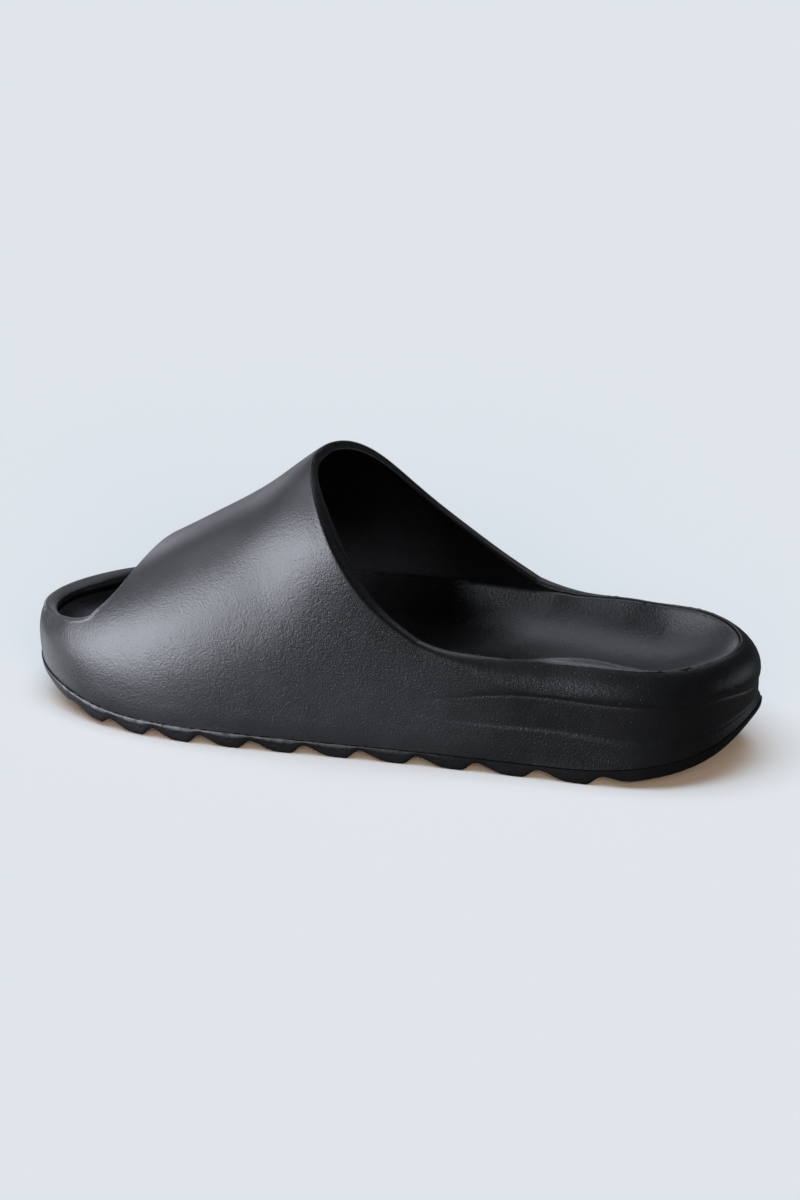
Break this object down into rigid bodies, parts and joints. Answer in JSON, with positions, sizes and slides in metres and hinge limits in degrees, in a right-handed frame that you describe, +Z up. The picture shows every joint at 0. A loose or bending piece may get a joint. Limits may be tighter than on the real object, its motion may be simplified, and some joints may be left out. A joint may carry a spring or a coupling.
{
  "type": "moulded slide sandal",
  "caption": "Thick-soled slide sandal moulded in matte foam: a hood over the instep, open collar and toe, dished footbed and a lugged outsole.",
  "frame": {"origin": "middle of the shoe's box, on the floor that it stands on", "axes": "+X from the heel to the toe, +Y to the wearer's left, which is the inner side of this right shoe, +Z up"},
  "size_m": [0.2878, 0.1118, 0.1065],
  "materials": {
    "upper_foam": "matte moulded foam with a fine grain",
    "insole_foam": "matte moulded foam with a fine grain",
    "outsole_foam": "matte dense foam"
  },
  "bodies": {
    "root": {"upper": "upper_foam", "insole": "insole_foam", "outsole": "outsole_foam"}
  },
  "joints": []
}
